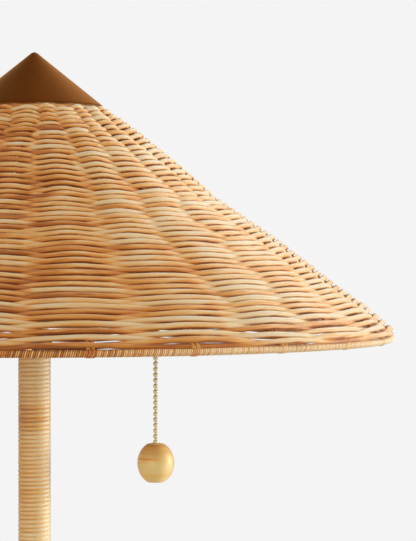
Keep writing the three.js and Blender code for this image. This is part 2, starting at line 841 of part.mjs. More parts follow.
// Woven wall: a shell that is full over the uprights and hollow on both faces between them, as
// the strands cross there. Its face has the waves of handwork, and the stake ends are below it.
function buildWeave() {
  const length = weaveTop.distanceTo(weaveFoot);
  const last = weaveSwell.length - 1;
  const outlineAt = (angle) => {
    const hollow = (weaveHollow / 2) * (1 + Math.cos(stakeCount * angle));
    const face = weaveSwell.map((swell, i) => (
      onSlope(length * (1 - i / last), weaveThickness + swell - hollow)
    ));
    return [onSlope(0, hollow), onSlope(length, hollow), ...face];
  };
  const stakes = [];
  const out = weaveThickness / 2;
  const stakeEnd = stopAtRing(rimCentre, rimThickness, out, stakeThickness);
  for (let i = 0; i < stakeCount; i += 1) {
    const angle = (2 * Math.PI * (i + 0.5)) / stakeCount;
    const from = around(onSlope(length - weaveThickness, out), angle);
    const to = around(onSlope(stakeEnd, out), angle);
    stakes.push(rod(from, to, stakeThickness / 2, beadSides));
  }
  rattan(root, 'weave', joined(shellRound(outlineAt, stakeCount * hollowSteps), ...stakes));
}

// A closed shell round Z, from the anticlockwise outline that it has at each step.
function shellRound(outlineAt, steps) {
  const positions = [];
  const index = [];
  const count = outlineAt(0).length;
  for (let k = 0; k < steps; k += 1) {
    const angle = (2 * Math.PI * k) / steps;
    for (const point of outlineAt(angle)) positions.push(...around(point, angle).toArray());
    const next = (k + 1) % steps;
    for (let j = 0; j < count; j += 1) {
      const beyond = (j + 1) % count;
      const [a, b] = [k * count + j, k * count + beyond];
      const [c, d] = [next * count + j, next * count + beyond];
      index.push(a, c, b, b, c, d);
    }
  }
  const geometry = new THREE.BufferGeometry();
  geometry.setAttribute('position', new THREE.Float32BufferAttribute(positions, 3));
  geometry.setIndex(index);
  geometry.computeVertexNormals();
  return geometry;
}

// Frame wires on the inner face, from the wound ring to the top ring.
function buildStruts() {
  const inset = -seatGap - strutThickness / 2;
  const ringFoot = topRingCentre.clone().sub(weaveInside).dot(downSlope) + topRingThickness / 2;
  const start = ringFoot + seatGap;
  const end = stopAtRing(rimCentre, rimThickness, inset, strutThickness);
  for (let i = 0; i < strutCount; i += 1) {
    const angle = (2 * Math.PI * (i + 0.5)) / strutCount;
    const from = around(onSlope(start, inset), angle);
    const to = around(onSlope(end, inset), angle);
    steel(root, `strut_${i + 1}`, rod(from, to, strutThickness / 2, wireSides));
  }
}

// Cap: spun cone with a rounded tip, and the threaded insert that clamps the shade.
function buildCap() {
  const slope = THREE.MathUtils.degToRad(capSlope);
  const apex = capBase + capLip + capRadius * Math.tan(slope);
  const tipCentre = apex - capTipRadius / Math.cos(slope);
  const innerApex = apex - capThickness / Math.cos(slope);
  const innerRadius = (innerApex - capBase) / Math.tan(slope);
  const lipInner = Math.min(innerRadius, capRadius - capThickness);
  const profile = [[0, innerApex]];
  profile.push([lipInner, innerApex - lipInner * Math.tan(slope)]);
  profile.push([lipInner, capBase], [capRadius, capBase], [capRadius, capBase + capLip]);
  for (let i = 0; i <= tipSteps; i += 1) {
    const angle = slope * (1 - i / tipSteps);
    const radius = i === tipSteps ? 0 : capTipRadius * Math.sin(angle);
    profile.push([radius, tipCentre + capTipRadius * Math.cos(angle)]);
  }
  addPiece(root, 'cap', turned(profile, wideSides), finishes.bronze);
  buildInsert(innerApex, slope);
}

function buildInsert(innerApex, slope) {
  const hole = tubeRadius + threadGap;
  const top = innerApex - insertRadius * Math.tan(slope) - seatGap / Math.cos(slope);
  const boreTop = insertBottom + insertGrip + seatGap;
  brass(root, 'cap_insert', turned([
    [0, boreTop],
    [hole, boreTop],
    [hole, insertBottom],
    [insertFlangeRadius, insertBottom],
    [insertFlangeRadius, insertBottom + insertFlangeThickness],
    [insertRadius, insertBottom + insertFlangeThickness],
    [insertRadius, top],
    [0, top],
  ], fineSides));
}

buildBase();
buildPole();
buildCluster();
buildRiser();
buildLight('right', 0);
buildLight('left', Math.PI);
buildShade();
buildCap();

export default root;
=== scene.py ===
# Rattan floor lamp: a woven cone shade with a spun metal cap, on a pole wound with rattan peel.
# The piece list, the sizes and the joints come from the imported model; this file gives the looks.
from math import cos, pi, radians, sin, tan

import bpy
import numpy as np
from mathutils import Matrix, Vector


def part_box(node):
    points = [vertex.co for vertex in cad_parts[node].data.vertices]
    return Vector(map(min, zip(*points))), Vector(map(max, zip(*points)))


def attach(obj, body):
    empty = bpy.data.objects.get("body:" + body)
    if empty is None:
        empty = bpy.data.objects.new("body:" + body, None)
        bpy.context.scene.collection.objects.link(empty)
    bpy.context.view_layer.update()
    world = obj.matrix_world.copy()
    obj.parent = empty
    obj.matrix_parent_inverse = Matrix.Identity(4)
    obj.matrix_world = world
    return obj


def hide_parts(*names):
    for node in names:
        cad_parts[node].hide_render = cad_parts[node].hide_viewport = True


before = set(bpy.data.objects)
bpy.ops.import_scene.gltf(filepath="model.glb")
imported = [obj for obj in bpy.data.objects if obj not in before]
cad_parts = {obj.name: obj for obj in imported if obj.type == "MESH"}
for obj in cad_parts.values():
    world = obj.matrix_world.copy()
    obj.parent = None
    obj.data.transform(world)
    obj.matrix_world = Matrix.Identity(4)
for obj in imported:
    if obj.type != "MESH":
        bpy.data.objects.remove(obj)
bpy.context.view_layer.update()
mm = 0.001

# Camera: level with the middle of the shade, a little to the left of what it looks at, with a
# long lens, so that the left third of the shade and the lamp below its pull chain are cut off.
lens = bpy.data.cameras.new("camera")
lens.lens = 138.41
lens.sensor_width = 36
lens.clip_end = 60
camera = bpy.data.objects.new("camera", lens)
camera.location = (0, -1.560, 1.3637)
camera.rotation_euler = (radians(89.59), 0, radians(-4.77))
bpy.context.scene.collection.objects.link(camera)
bpy.context.scene.camera = camera
bpy.context.scene.view_settings.view_transform = "Standard"


# Studio: one broad soft lamp far to the right, two high ones, a warm one in front on the left,
# and a pale room that metal, glass and the camera see as plain off-white.
def soft_lamp(name, place, size, watts, colour):
    light = bpy.data.lights.new(name, "AREA")
    light.shape = "DISK"
    light.size = size
    light.energy = watts
    light.color = colour
    lamp = bpy.data.objects.new(name, light)
    lamp.location = place
    lamp.rotation_euler = (Vector((0, 0, 1.25)) - lamp.location).to_track_quat("-Z", "Y").to_euler()
    bpy.context.scene.collection.objects.link(lamp)


def plug(tree, node, *numbered, **named):
    """Gives a shader node its values, by the number or name of an input, or as an option such as
    its operation. Another node, or one of its outputs, is linked to the input."""
    for key, value in [*named.items(), *enumerate(numbered)]:
        if hasattr(node, str(key)):
            setattr(node, key, value)
            continue
        socket = node.inputs[key.replace("_", " ") if isinstance(key, str) else key]
        if isinstance(value, bpy.types.Node):
            value = value.outputs[0]
        if isinstance(value, bpy.types.NodeSocket):
            tree.links.new(value, socket)
        else:
            socket.default_value = value
    return node


def shader(tree, kind, *numbered, **named):
    """Adds a shader node with its values."""
    return plug(tree, tree.nodes.new(kind), *numbered, **named)


def maths(tree, operation, *terms):
    return shader(tree, "ShaderNodeMath", *terms, operation=operation)


soft_lamp("window_right", (3.1, 0.25, 1.42), 1.7, 78, (1.0, 1.0, 0.99))
soft_lamp("high_behind", (1.8, 1.9, 3.3), 1.3, 27, (1.0, 0.98, 0.95))
soft_lamp("high_front", (0.5, -0.9, 3.5), 1.0, 10, (1.0, 0.97, 0.92))
soft_lamp("fill_front", (-1.3, -2.9, 1.3), 2.2, 33, (1.0, 0.91, 0.77))

room = bpy.data.worlds.new("room")
bpy.context.scene.world = room
room.use_nodes = True
room_tree = room.node_tree
room_tree.nodes.clear()
rays = shader(room_tree, "ShaderNodeLightPath").outputs
seen = maths(room_tree, "MAXIMUM", rays["Is Camera Ray"], rays["Is Glossy Ray"])
seen = maths(room_tree, "MAXIMUM", seen, rays["Is Transmission Ray"])
room_light = shader(room_tree, "ShaderNodeBackground", Color=(1.0, 0.87, 0.72, 1), Strength=0.34)
backdrop = shader(room_tree, "ShaderNodeBackground", Color=(0.905, 0.905, 0.905, 1), Strength=1)
either = shader(room_tree, "ShaderNodeMixShader", seen, room_light, backdrop)
shader(room_tree, "ShaderNodeOutputWorld", Surface=either)


# Floor: a pale disc that takes the lamp's shadow and fades into the room at its edge. Light that
# it throws back on the lamp is dimmer than it looks.
def finish(name, **values):
    """A new material, its node tree and its surface node with the given inputs."""
    material = bpy.data.materials.new(name)
    material.use_nodes = True
    tree = material.node_tree
    return material, tree, plug(tree, tree.nodes["Principled BSDF"], **values)


floor_radius = 3.2
floor_mesh = bpy.data.meshes.new("floor")
around = np.linspace(0, 2 * pi, 96, endpoint=False)
floor_mesh.from_pydata([(floor_radius * cos(a), floor_radius * sin(a), 0) for a in around], [],
                       [list(range(len(around)))])
floor = bpy.data.objects.new("floor", floor_mesh)
bpy.context.scene.collection.objects.link(floor)
pale, pale_tree, paint = finish("pale_floor", Base_Color=(0.86, 0.86, 0.86, 1), Roughness=0.8)
where = shader(pale_tree, "ShaderNodeTexCoord").outputs["Object"]
far = shader(pale_tree, "ShaderNodeVectorMath", where, operation="LENGTH").outputs["Value"]
fade = shader(pale_tree, "ShaderNodeMapRange", far, interpolation_type="SMOOTHSTEP",
              From_Min=0.7, From_Max=3.0, To_Min=1, To_Max=0)
plug(pale_tree, paint, Alpha=fade)
thrown_back = shader(pale_tree, "ShaderNodeLightPath").outputs["Is Diffuse Ray"]
matt = shader(pale_tree, "ShaderNodeBsdfDiffuse", Color=(0.42, 0.40, 0.37, 1))
view_of_floor = shader(pale_tree, "ShaderNodeMixShader", thrown_back, paint, matt)
plug(pale_tree, pale_tree.nodes["Material Output"], Surface=view_of_floor)
floor_mesh.materials.append(pale)


# Base disc: a heavy cast iron plate, painted dark, that keeps the lamp upright. It rests on a
# ring of green felt glued under it.
def noise(tree, place, stretch, **values):
    """Noise whose places are stretched first, so that it is drawn out along the other axes."""
    drawn = shader(tree, "ShaderNodeVectorMath", place, stretch, operation="MULTIPLY")
    return shader(tree, "ShaderNodeTexNoise", Vector=drawn, **values)


def ramp(tree, value, stops):
    """The colour at a value, between stops of a position and a colour."""
    node = shader(tree, "ShaderNodeValToRGB", value)
    elements = node.color_ramp.elements
    while len(elements) < len(stops):
        elements.new(0.5)
    for k, (position, colour) in enumerate(stops):
        elements[k].position = position
        elements[k].color = (*colour, 1)
    return node


def mottled(name, light, dark, scale, roughness, metallic=0.0, bump=0.0, stretch=(1, 1, 1)):
    """A finish that wanders between two close colours, with a matching unevenness."""
    material, tree, surface = finish(name, Metallic=metallic)
    place = shader(tree, "ShaderNodeTexCoord").outputs["Object"]
    cloud = noise(tree, place, stretch, Scale=scale, Detail=5.0, Roughness=0.6)
    gloss = shader(tree, "ShaderNodeMapRange", cloud, To_Min=roughness * 0.8, To_Max=min(1, roughness * 1.2))
    relief = shader(tree, "ShaderNodeBump", Height=cloud, Strength=bump, Distance=0.0004)
    colour = ramp(tree, cloud, ((0.3, dark), (0.7, light)))
    plug(tree, surface, Base_Color=colour, Roughness=gloss, Normal=relief)
    return material


def dress(material, *names):
    """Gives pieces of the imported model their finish."""
    for name in names:
        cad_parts[name].material_slots[0].material = material


cast_iron = mottled("cast_iron", (0.052, 0.052, 0.055), (0.026, 0.026, 0.028), 260, 0.62, 0.6, 0.6)
green_felt = mottled("green_felt", (0.045, 0.13, 0.06), (0.02, 0.07, 0.03), 900, 0.97, 0, 0.9)
dress(cast_iron, "base_weight")
dress(green_felt, "base_pad")

# Base hardware: zinc-plated washer and nut that clamp the threaded tube of the pole from below.
zinc = mottled("zinc_plate", (0.62, 0.62, 0.60), (0.45, 0.45, 0.44), 180, 0.34, 1.0, 0.15)
dress(zinc, "base_washer", "base_nut", "base_stud")


# Base cover: one long round core of rattan, coiled from the pole out to the edge and down the
# side, and stitched coil to coil with narrow peel, as a coiled basket is.
def lengths(line):
    """The distance along a line to each of its points."""
    return np.concatenate([[0], np.cumsum(np.linalg.norm(np.diff(line, axis=0), axis=1))])


def strands(name, paths, sides):
    """One mesh of rounded strands. A path has its line, the two directions across it, its half
    sizes in those directions and its tone, and is capped at both ends unless it is closed on
    itself. A flatness below 1 squares its round section, as peel is flatter than core. A painted
    shade gives how much darker the tone is round the section, painted where shade falls in the
    joints and on the unlit side of a strand, and share how much of that each place along it has."""
    points, faces, grain, tone = [], [], [], []
    first = 0
    turn = 2 * pi * (np.arange(sides) + 0.5) / sides
    for number, path in enumerate(paths):
        line = np.asarray(path["line"], float)
        count = len(line)
        made = line[:, None]
        for way, wave in (("out", np.cos(turn)), ("up", np.sin(turn))):
            across = np.broadcast_to(np.asarray(path[way], float), (count, 3))[:, None]
            squared = np.sign(wave) * np.abs(wave) ** path.get("flatness", 1.0)
            half = np.broadcast_to(path[f"half_{way}"], count)[:, None, None]
            made = made + across * squared[:, None] * half
        points.append(made.reshape(-1, 3))
        own = np.zeros((count, sides, 3))
        own[:, :, 0] = lengths(line)[:, None] + number * 0.37
        own[:, :, 1] = np.cos(turn) * np.mean(path["half_up"]) + number * 0.013
        own[:, :, 2] = np.sin(turn) * np.mean(path["half_up"]) + number * 0.013
        grain.append(own.reshape(-1, 3))
        # Painted shade: the tone is darkened round each strand's section where shade would fall.
        shaded = path.get("shaded", np.zeros_like)(turn)
        share = np.broadcast_to(path.get("share", 1.0), count)[:, None]
        tone.append((np.broadcast_to(path["tone"], count)[:, None] + share * shaded[None]).ravel())
        closed = path.get("closed", False)
        rows = np.arange(count if closed else count - 1)[:, None]
        here = first + rows * sides + np.arange(sides)
        there = first + (rows + 1) % count * sides + np.arange(sides)
        quads = np.stack([here, np.roll(here, -1, 1), np.roll(there, -1, 1), there], 2)
        faces.extend(quads.reshape(-1, 4).tolist())
        if not closed:
            faces.append([first + k for k in reversed(range(sides))])
            faces.append([first + (count - 1) * sides + k for k in range(sides)])
        first += count * sides
    mesh = bpy.data.meshes.new(name)
    mesh.from_pydata(np.concatenate(points).tolist(), [], faces)
    mesh.attributes.new("tone", "FLOAT", "POINT").data.foreach_set(
        "value", np.concatenate(tone).astype(np.float32))
    mesh.attributes.new("grain", "FLOAT_VECTOR", "POINT").data.foreach_set(
        "vector", np.concatenate(grain).astype(np.float32).ravel())
    mesh.shade_smooth()
    piece = bpy.data.objects.new(name, mesh)
    bpy.context.scene.collection.objects.link(piece)
    return piece


def rattan(name, colours, gloss, fibre=1.0, sheen=0.4, shine_level=0.45):
    """Rattan core or peel: its tone runs through the given colours from pale to dark, with
    fine fibres and slow patches drawn out along each strand."""
    material, tree, surface = finish(name, Specular_IOR_Level=shine_level, Sheen_Weight=sheen,
                                     Sheen_Roughness=0.45, Sheen_Tint=(1.0, 0.97, 0.90, 1))
    strand_tone = shader(tree, "ShaderNodeAttribute", attribute_name="tone").outputs["Fac"]
    strand_grain = shader(tree, "ShaderNodeAttribute", attribute_name="grain").outputs["Vector"]
    fibres = noise(tree, strand_grain, (60, 1300, 1300), Scale=1.0, Detail=3.0, Roughness=0.65)
    patches = noise(tree, strand_grain, (20, 280, 280), Scale=1.0, Detail=3.0, Roughness=0.55)
    fibre_part = shader(tree, "ShaderNodeMapRange", fibres, To_Min=-0.22 * fibre, To_Max=0.22 * fibre)
    patch_part = shader(tree, "ShaderNodeMapRange", patches, To_Min=-0.34, To_Max=0.34)
    whole = maths(tree, "ADD", strand_tone, maths(tree, "ADD", fibre_part, patch_part))
    colour = ramp(tree, whole, [(k / (len(colours) - 1), shade) for k, shade in enumerate(colours)])
    shine = shader(tree, "ShaderNodeMapRange", fibres, To_Min=gloss - 0.08, To_Max=gloss + 0.12)
    relief = shader(tree, "ShaderNodeBump", Height=fibres, Strength=0.35, Distance=0.00025)
    plug(tree, surface, Base_Color=colour, Roughness=shine, Normal=relief)
    return material


def wear(piece, material, slot, body, *nodes):
    """Finishes a new piece, lets it stand for its nodes, and fixes it on its body."""
    piece.data.materials.append(material)
    if nodes:
        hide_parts(*nodes)
    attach(piece, body)


chance = np.random.default_rng(7)


def wander(length, step, seed):
    """Slow unevenness along a strand, between about -1 and 1."""
    own = np.random.default_rng(seed)
    knots = own.normal(0, 0.5, int(length / step) + 4)
    return lambda s: np.interp(s / step, np.arange(len(knots)), knots)


def polyline(corners, s):
    """Points at distances s along an outline, the direction square to it and its own."""
    corners = np.asarray(corners, float)
    reach = lengths(corners)
    place, ahead, behind = (np.stack([np.interp(s + step, reach, corners[:, k]) for k in (0, 1)], 1)
                            for step in (0, 0.8 * mm, -0.8 * mm))
    way = ahead - behind
    way /= np.linalg.norm(way, axis=1)[:, None]
    return place, np.stack([-way[:, 1], way[:, 0]], 1), way


def swung(flat, angle):
    """A radius and height turned round the lamp's axis."""
    flat = np.broadcast_to(flat, (np.size(angle), 2))
    return np.stack([flat[:, 0] * np.cos(angle), flat[:, 0] * np.sin(angle), flat[:, 1]], 1)


cover_low, cover_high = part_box("base_cover")
pole_low, pole_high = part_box("pole_wrap_lower")
base_radius = cover_high.x
core_thick = 4.3 * mm
neck = pole_high.x + 0.5 * mm
edge_round = 5 * mm
bend = base_radius - edge_round
edge_top = 27 * mm
shoulder = [(bend + edge_round * sin(a), edge_top - edge_round + edge_round * cos(a))
            for a in np.linspace(0.2, pi / 2, 6)]
cover_outline = [(neck, cover_high.z), (neck + 5.5 * mm, cover_high.z), *shoulder,
                 (base_radius, cover_low.z)]
cover_length = lengths(np.array(cover_outline))[-1]
coils = (cover_length - core_thick) / core_thick
coil_angle = np.arange(0, coils * 2 * pi, 2 * pi / 110)
coil_flat, coil_out, coil_way = polyline(cover_outline, core_thick / 2 + coil_angle / (2 * pi) * core_thick)
coil_line = swung(coil_flat - coil_out * core_thick / 2, coil_angle)
coil_out = swung(coil_out, coil_angle)
coil_way = swung(coil_way, coil_angle)
uneven = wander(60, 0.09, 3)
coil_tone = 0.42 + 0.3 * uneven(lengths(coil_line))
cord_height = 14.5 * mm
bushing_room = 6.2 * mm
from_bushing = coil_line[:, 0] ** 2 + (coil_line[:, 2] - cord_height) ** 2
kept = ~((coil_line[:, 1] > 0.1) & (from_bushing < bushing_room ** 2))
cover_paths = []
for run in np.split(np.arange(len(kept)), np.flatnonzero(np.diff(kept.astype(int))) + 1):
    if kept[run[0]] and len(run) > 2:
        cover_paths.append(dict(line=coil_line[run], out=coil_out[run], up=coil_way[run],
                                half_out=core_thick / 2, half_up=core_thick / 2 * 1.02,
                                tone=coil_tone[run]))
stitches = 36
for k in range(stitches):
    angle = 2 * pi * (k + 0.5) / stitches
    stitch_reach = np.arange(core_thick, cover_length - 0.4 * mm, 0.8 * mm)
    flat, out, _ = polyline(cover_outline, stitch_reach)
    off_crest = ((stitch_reach - core_thick / 2) / core_thick - angle / (2 * pi) + 0.5) % 1 - 0.5
    lift = np.sqrt(1 - (1.5 * off_crest) ** 2) - 1
    flat = flat + out * (lift * core_thick / 2 + 0.1 * mm)[:, None]
    stitch_angle = np.full(len(flat), angle)
    cover_paths.append(dict(line=swung(flat, stitch_angle), out=swung(out, stitch_angle),
                            up=(-sin(angle), cos(angle), 0), half_out=0.35 * mm, half_up=1.2 * mm,
                            tone=0.25 + 0.2 * chance.normal()))
honey = [(0.80, 0.62, 0.38), (0.70, 0.47, 0.22), (0.58, 0.33, 0.12), (0.43, 0.20, 0.06), (0.27, 0.105, 0.03)]
base_rattan = rattan("base_rattan", honey, 0.5)
wear(strands("base_cover_coils", cover_paths, 8), base_rattan, "base_rattan", "stand", "base_cover")


# Foot ring: a thick cane hoop round the foot of the cover, bound all the way with peel.
def level_ring(radius, height, half_out, half_up, tone, count):
    """A strand that lies level, in a ring round the lamp's axis."""
    angle = np.arange(count) * 2 * pi / count
    return dict(line=swung((radius, height), angle), out=swung((1, 0), angle), up=(0, 0, 1),
                half_out=half_out, half_up=half_up, tone=tone, closed=True)


def wound_strand(radius, height, size, small, big, **looks):
    """A closed strand on a hoop, at the angles small round its section and big round the lamp."""
    line = swung(np.stack([radius + size * np.cos(small), height + size * np.sin(small)], 1), big)
    out = swung(np.stack([np.cos(small), np.sin(small)], 1), big)
    ahead = np.roll(line, -1, 0) - np.roll(line, 1, 0)
    ahead /= np.linalg.norm(ahead, axis=1)[:, None]
    return dict(line=line, out=out, up=np.cross(ahead, out), closed=True, **looks)


def bound_hoop(radius, height, thick, lead, starts, peel, tones):
    """Paths of a hoop wound at a slant by several strands of peel side by side, on its core."""
    turns = round(2 * pi * radius / lead)
    slant = np.arctan2(lead, pi * (thick - peel))
    wide = lead / starts * cos(slant) / 2
    core_half = thick / 2 - peel * 0.7
    paths = [level_ring(radius, height, core_half, core_half, 0.9, 240)]
    t = np.arange(turns * 12) / (turns * 12)
    big = 2 * pi * t
    for k in range(starts):
        small = 2 * pi * (turns * t + k / starts)
        # Painted shade: each strand of peel is darker at its edges, where it meets the next turn.
        paths.append(wound_strand(radius, height, thick / 2 - peel / 2, small, big,
                                  half_out=peel / 2, half_up=wide * 1.02, tone=tones(k, big),
                                  shaded=lambda t: 0.95 * np.abs(np.sin(t)) ** 3 - 0.26))
    return paths


foot_low, foot_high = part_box("base_rim")
foot_thick = foot_high.x - base_radius - 0.3 * mm
foot_tones = wander(2 * pi, 0.35, 11)
foot_paths = bound_hoop(foot_high.x - foot_thick / 2, (foot_low.z + foot_high.z) / 2, foot_thick, 13 * mm, 4,
                        1.1 * mm, lambda k, a: 0.5 + 0.22 * foot_tones(a) + 0.07 * (k % 2))
wear(strands("base_hoop", foot_paths, 6), base_rattan, "base_rattan", "stand", "base_rim")


# Cord bushing: a black moulded sleeve with a flange, pressed in the hole of the back edge.
def softened(outline, size, corner=0.3):
    """Rounds the corners of a turned outline, none by more than its neighbours leave room for."""
    made = [outline[0]]
    for a, b, c in zip(outline, outline[1:], outline[2:]):
        a, b, c = Vector(a), Vector(b), Vector(c)
        into, away = b - a, c - b
        if into.length < 1e-9 or away.length < 1e-9 or into.angle(away) < corner:
            made.append(tuple(b))
            continue
        cut = min(size, 0.45 * into.length, 0.45 * away.length)
        start, end = b - into.normalized() * cut, b + away.normalized() * cut
        made += [tuple(start.lerp(b, t).lerp(b.lerp(end, t), t)) for t in (0, 0.33, 0.67, 1)]
    return [*made, outline[-1]]


def turned(name, outline, sides=64, place=None, round_off=0.3):
    """A solid turned about Z from an outline of radius and height in mm, then set in its place.
    An outline that starts off the axis is closed into a ring."""
    outline = softened([Vector(p) for p in outline], round_off)
    rims, points, faces = [], [], []
    for radius, height in outline:
        if radius < 1e-6:
            rims.append([len(points)] * sides)
            points.append((0, 0, height * mm))
        else:
            rims.append([len(points) + k for k in range(sides)])
            points += [(radius * mm * cos(2 * pi * k / sides), radius * mm * sin(2 * pi * k / sides),
                        height * mm) for k in range(sides)]
    pairs = list(zip(rims, rims[1:]))
    if outline[0][0] > 1e-6:
        pairs.append((rims[-1], rims[0]))
    for low, high in pairs:
        for k in range(sides):
            n = (k + 1) % sides
            face = list(dict.fromkeys([low[k], low[n], high[n], high[k]]))
            if len(face) > 2:
                faces.append(face)
    mesh = bpy.data.meshes.new(name)
    mesh.from_pydata(points, [], faces)
    mesh.validate()
    mesh.shade_smooth()
    mesh.set_sharp_from_angle(angle=radians(40))
    if place is not None:
        mesh.transform(place)
    piece = bpy.data.objects.new(name, mesh)
    bpy.context.scene.collection.objects.link(piece)
    return piece


black_plastic = mottled("black_plastic", (0.022, 0.021, 0.02), (0.014, 0.013, 0.012), 400, 0.45, 0, 0.2)
to_back = Matrix.Translation((0, 0, cord_height)) @ Matrix.Rotation(-pi / 2, 4, "X")
cord_bore, sleeve_radius, flange_radius = 3.5, 4.7, 5.7
sleeve_start, flange_start, flange_end = 132, 138.3, 140.3
bushing = turned("cord_bushing_sleeve", [
    (cord_bore, sleeve_start), (sleeve_radius, sleeve_start), (sleeve_radius, flange_start),
    (flange_radius, flange_start), (flange_radius, flange_end), (cord_bore, flange_end)], 48, to_back, 0.5)
wear(bushing, black_plastic, "bushing_plastic", "stand", "cord_bushing")

# Pole: a steel tube in two lengths, wound from foot to top with one flat rattan peel, each turn
# tight against the last. The peel is glued down as it is wound.
dress(zinc, "pole_tube_lower", "pole_tube_upper", "pole_nipple")
wrap_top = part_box("pole_wrap_upper")[1].z
peel_pitch = 3.15 * mm
peel_thick = 2.3 * mm
turns = (wrap_top - pole_low.z - peel_pitch) / peel_pitch
wind_angle = np.arange(0, turns * 2 * pi, 2 * pi / 20)
wind_height = pole_low.z + peel_pitch / 2 + wind_angle / (2 * pi) * peel_pitch
drift = wander(1.4, 0.021, 21)
wind_radius = pole_high.x - peel_thick / 2 + 0.05 * mm * drift(wind_height * 7 % 1.4)
band = wander(1.4, 0.024, 5)
ring_tone = wander(460, 1.0, 8)
# Painted light: the cosine term makes the winding paler on the side towards the lamp at the right (+X) and
# darker on the far side; the rest is the peel's own tone.
wind_tone_and_painted_light = (0.22 + 0.24 * band(wind_height) + 0.15 * ring_tone(wind_angle / (2 * pi))
             - 0.26 * np.cos(wind_angle))
for height, spread, depth in ((1.2435, 0.010, 0.17), (1.2418, 0.0018, 0.30), (1.1878, 0.0035, 0.24)):
    wind_tone_and_painted_light += depth * np.exp(-((wind_height - height) / spread) ** 2)


def peel_painted_shade(t):
    """Painted shade and light round a peel's section: darkest in the joints with its neighbours, where shade
    falls, and palest on its upper side, where light falls from above.
    """
    return 0.50 * np.abs(np.sin(t)) ** 4 - 0.12 - 0.50 * np.sin(t) * np.sqrt(np.abs(np.cos(t)))


wind_line = swung(np.stack([wind_radius, wind_height], 1), wind_angle)
pole_paths = [dict(line=wind_line, out=swung((1, 0), wind_angle), up=(0, 0, 1), flatness=0.68,
                   half_out=peel_thick / 2, half_up=peel_pitch / 2 * 1.07, tone=wind_tone_and_painted_light,
                   shaded=peel_painted_shade)]
pole_colours = [(0.98, 0.77, 0.43), (0.97, 0.63, 0.215), (0.87, 0.445, 0.09), (0.67, 0.26, 0.04),
                (0.40, 0.12, 0.016)]
pole_rattan = rattan("pole_rattan", pole_colours, 0.46, 1.4, 0.9, 1.0)
wear(strands("pole_winding", pole_paths, 11), pole_rattan, "pole_rattan", "stand", "pole_wrap_lower",
     "pole_wrap_upper")

# Collar: three rounds of thin cane laid on the cover to close the joint round the pole.
collar_low, collar_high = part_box("pole_collar")
collar_paths = [level_ring(radius, height, half, half, tone, 72) for radius, height, half, tone in (
    (collar_high.x - 2.3 * mm, collar_low.z + 2.2 * mm, 2.2 * mm, 0.5),
    (pole_high.x + 2.2 * mm, collar_low.z + 3.4 * mm, 1.9 * mm, 0.35),
    (pole_high.x + 2.0 * mm, collar_high.z - 1.8 * mm, 1.8 * mm, 0.45))]
wear(strands("pole_collar_rounds", collar_paths, 12), base_rattan, "base_rattan", "stand", "pole_collar")


# Ferrule and cluster: spun and turned brass, lacquered. The ferrule caps the winding, and the
# cluster body on it takes an arm on each side and the riser on top.
def in_mm(box):
    return (corner / mm for corner in box)


brass = mottled("lacquered_brass", (0.80, 0.58, 0.28), (0.68, 0.46, 0.19), 60, 0.27, 1.0, 0.1, (1, 1, 3))
ferrule_low, ferrule_high = in_mm(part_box("pole_ferrule"))
cluster_low, cluster_high = in_mm(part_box("cluster_body"))
cluster_axis = (cluster_low.z + cluster_high.z) / 2
skirt = ferrule_high.x
pole_end = ferrule_low.z + 8
pipe_hole = 5.2
end_face = 11
ferrule = turned("ferrule_cup", [
    (pipe_hole, pole_end), (skirt - 1.2, pole_end), (skirt - 1.2, ferrule_low.z), (skirt, ferrule_low.z),
    (skirt, pole_end + 1.2), (skirt - 0.5, pole_end + 2.6), (end_face + 0.6, ferrule_high.z - 2),
    (end_face, ferrule_high.z), (pipe_hole, ferrule_high.z)], 72)
wear(ferrule, brass, "brass", "stand", "pole_ferrule")
body_outline = [(0, cluster_low.z), (end_face, cluster_low.z), (end_face + 0.6, cluster_low.z + 1.2)]
body_outline += [(16 - 4.4 * (abs(t) ** 3), cluster_axis + 16.2 * t) for t in np.linspace(-0.95, 0.95, 13)]
body_outline += [(end_face + 0.6, cluster_high.z - 1.2), (end_face, cluster_high.z), (0, cluster_high.z)]
wear(turned("cluster_barrel", body_outline, 72, round_off=0.5), brass, "brass", "stand", "cluster_body")
to_side = {side: Matrix.Translation((0, 0, cluster_axis * mm)) @ Matrix.Rotation(way * pi / 2, 4, "Y")
           for side, way in (("right", 1), ("left", -1))}
boss_outline = [(pipe_hole, 13), (8.5, 13), (8.5, 19.5), (9.3, 20), (9.3, 21.5), (8.6, 22), (pipe_hole, 22)]
for side, lying in to_side.items():
    wear(turned(f"cluster_boss_{side}", boss_outline, 56, lying, 0.5), brass, "brass", "stand")


# Threaded tubes: the arms and the riser are lengths of running-thread lamp pipe, the arms zinc
# plated and the riser brass plated.
def threaded(start, end, radius=4.8, pitch=1.0, bore=3.3):
    """Outline of a pipe whose thread is drawn as rings one pitch apart."""
    root = radius - 0.35
    outline = [(bore, start), (root, start)]
    for k in range(int((end - start - 0.6) / pitch)):
        outline += [(root, start + 0.3 + k * pitch), (radius, start + 0.3 + (k + 0.5) * pitch)]
    return outline + [(root, end), (bore, end)]


def off_axis(box):
    """Where a piece of one side starts and ends, in mm from the lamp's axis."""
    low, high = in_mm(box)
    return sorted((abs(low.x), abs(high.x)))


for side, lying in to_side.items():
    arm_outline = threaded(*off_axis(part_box(f"arm_{side}")))
    wear(turned(f"arm_pipe_{side}", arm_outline, 28, lying, 0), zinc, "steel", "stand", f"arm_{side}")
riser_low, riser_high = in_mm(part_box("riser"))
riser_outline = threaded(riser_low.z, riser_high.z)
wear(turned("riser_pipe", riser_outline, 28, None, 0), brass, "steel", "stand", "riser")

